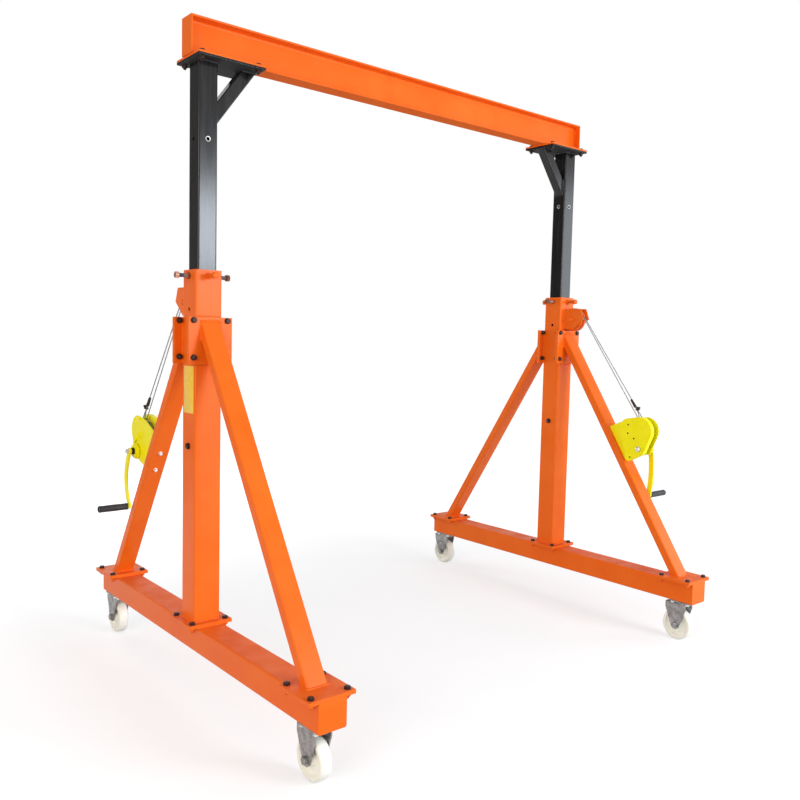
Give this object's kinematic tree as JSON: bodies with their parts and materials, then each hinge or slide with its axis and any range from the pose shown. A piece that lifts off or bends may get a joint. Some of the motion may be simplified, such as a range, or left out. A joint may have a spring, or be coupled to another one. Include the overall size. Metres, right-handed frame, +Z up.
{
  "type": "mobile gantry crane",
  "caption": "Height-adjustable gantry crane: A-frames on swivel casters carry an I-beam on telescoping posts raised by hand winches.",
  "frame": {"origin": "on the floor, midway between the two posts", "axes": "+X along the beam, +Z up, -Y towards the front of the base beams"},
  "size_m": [2.538, 1.86, 2.615],
  "materials": {
    "orange_paint": "gloss spray paint over steel",
    "black_paint": "gloss black paint",
    "yellow_paint": "yellow paint",
    "black_grip": "moulded",
    "nylon": "cream nylon",
    "zinc_steel": "bright zinc plate",
    "wire_rope": "stranded wire",
    "bolt_steel": "dark oxide"
  },
  "bodies": {
    "frame": {"left_base_beam": "orange_paint", "left_base_caps": "orange_paint", "left_outer_post": "orange_paint", "left_post_bolts": "bolt_steel", "left_winch_brace": "orange_paint", "left_plain_brace": "orange_paint", "left_pulley_bracket": "orange_paint", "left_guide_pulley": "zinc_steel", "left_winch_frame": "yellow_paint", "left_winch_cover": "yellow_paint", "left_hoist_rope": "wire_rope", "left_front_caster_plate": "zinc_steel", "left_rear_caster_plate": "zinc_steel", "right_base_beam": "orange_paint", "right_base_caps": "orange_paint", "right_outer_post": "orange_paint", "right_post_bolts": "bolt_steel", "right_winch_brace": "orange_paint", "right_plain_brace": "orange_paint", "right_pulley_bracket": "orange_paint", "right_guide_pulley": "zinc_steel", "right_winch_frame": "yellow_paint", "right_winch_cover": "yellow_paint", "right_hoist_rope": "wire_rope", "right_front_caster_plate": "zinc_steel", "right_rear_caster_plate": "zinc_steel"},
    "bridge": {"main_beam": "orange_paint", "beam_end_plates": "orange_paint", "left_head_plate": "orange_paint", "left_inner_post": "black_paint", "right_head_plate": "orange_paint", "right_inner_post": "black_paint"},
    "left_drum": {"left_winch_drum": "zinc_steel"},
    "left_crank": {"left_winch_crank": "yellow_paint", "left_crank_grip": "black_grip"},
    "left_front_fork": {"left_front_caster_fork": "zinc_steel"},
    "left_front_wheel": {"left_front_caster_wheel": "nylon"},
    "left_rear_fork": {"left_rear_caster_fork": "zinc_steel"},
    "left_rear_wheel": {"left_rear_caster_wheel": "nylon"},
    "right_drum": {"right_winch_drum": "zinc_steel"},
    "right_crank": {"right_winch_crank": "yellow_paint", "right_crank_grip": "black_grip"},
    "right_front_fork": {"right_front_caster_fork": "zinc_steel"},
    "right_front_wheel": {"right_front_caster_wheel": "nylon"},
    "right_rear_fork": {"right_rear_caster_fork": "zinc_steel"},
    "right_rear_wheel": {"right_rear_caster_wheel": "nylon"}
  },
  "joints": [
    {"name": "lift", "type": "slide", "parent": "frame", "child": "bridge", "axis": [0, 0, 1], "range_m": [-0.22, 0.22]},
    {"name": "left_drum_turn", "type": "hinge", "parent": "frame", "child": "left_drum", "pos_m": [-1.07, 0.55299, 0.98517], "axis": [-1, 0, 0], "continuous": true},
    {"name": "left_crank_turn", "type": "hinge", "parent": "frame", "child": "left_crank", "pos_m": [-1.07, 0.57707, 0.91098], "axis": [-1, 0, 0], "continuous": true},
    {"name": "left_front_swivel", "type": "hinge", "parent": "frame", "child": "left_front_fork", "pos_m": [-1.07, -0.843, 0.18], "axis": [0, 0, 1], "continuous": true},
    {"name": "left_front_roll", "type": "hinge", "parent": "left_front_fork", "child": "left_front_wheel", "pos_m": [-1.07, -0.816, 0.075], "axis": [1, 0, 0], "continuous": true},
    {"name": "left_rear_swivel", "type": "hinge", "parent": "frame", "child": "left_rear_fork", "pos_m": [-1.07, 0.843, 0.18], "axis": [0, 0, 1], "continuous": true},
    {"name": "left_rear_roll", "type": "hinge", "parent": "left_rear_fork", "child": "left_rear_wheel", "pos_m": [-1.07, 0.87, 0.075], "axis": [1, 0, 0], "continuous": true},
    {"name": "right_drum_turn", "type": "hinge", "parent": "frame", "child": "right_drum", "pos_m": [1.07, -0.55299, 0.98517], "axis": [1, 0, 0], "continuous": true},
    {"name": "right_crank_turn", "type": "hinge", "parent": "frame", "child": "right_crank", "pos_m": [1.07, -0.57707, 0.91098], "axis": [1, 0, 0], "continuous": true},
    {"name": "right_front_swivel", "type": "hinge", "parent": "frame", "child": "right_front_fork", "pos_m": [1.07, -0.843, 0.18], "axis": [0, 0, 1], "continuous": true},
    {"name": "right_front_roll", "type": "hinge", "parent": "right_front_fork", "child": "right_front_wheel", "pos_m": [1.07, -0.816, 0.075], "axis": [1, 0, 0], "continuous": true},
    {"name": "right_rear_swivel", "type": "hinge", "parent": "frame", "child": "right_rear_fork", "pos_m": [1.07, 0.843, 0.18], "axis": [0, 0, 1], "continuous": true},
    {"name": "right_rear_roll", "type": "hinge", "parent": "right_rear_fork", "child": "right_rear_wheel", "pos_m": [1.07, 0.87, 0.075], "axis": [1, 0, 0], "continuous": true}
  ],
  "couplings": [
    {"joint": "left_drum_turn", "follows": "left_crank_turn", "ratio": -0.24},
    {"joint": "right_drum_turn", "follows": "right_crank_turn", "ratio": -0.24}
  ]
}
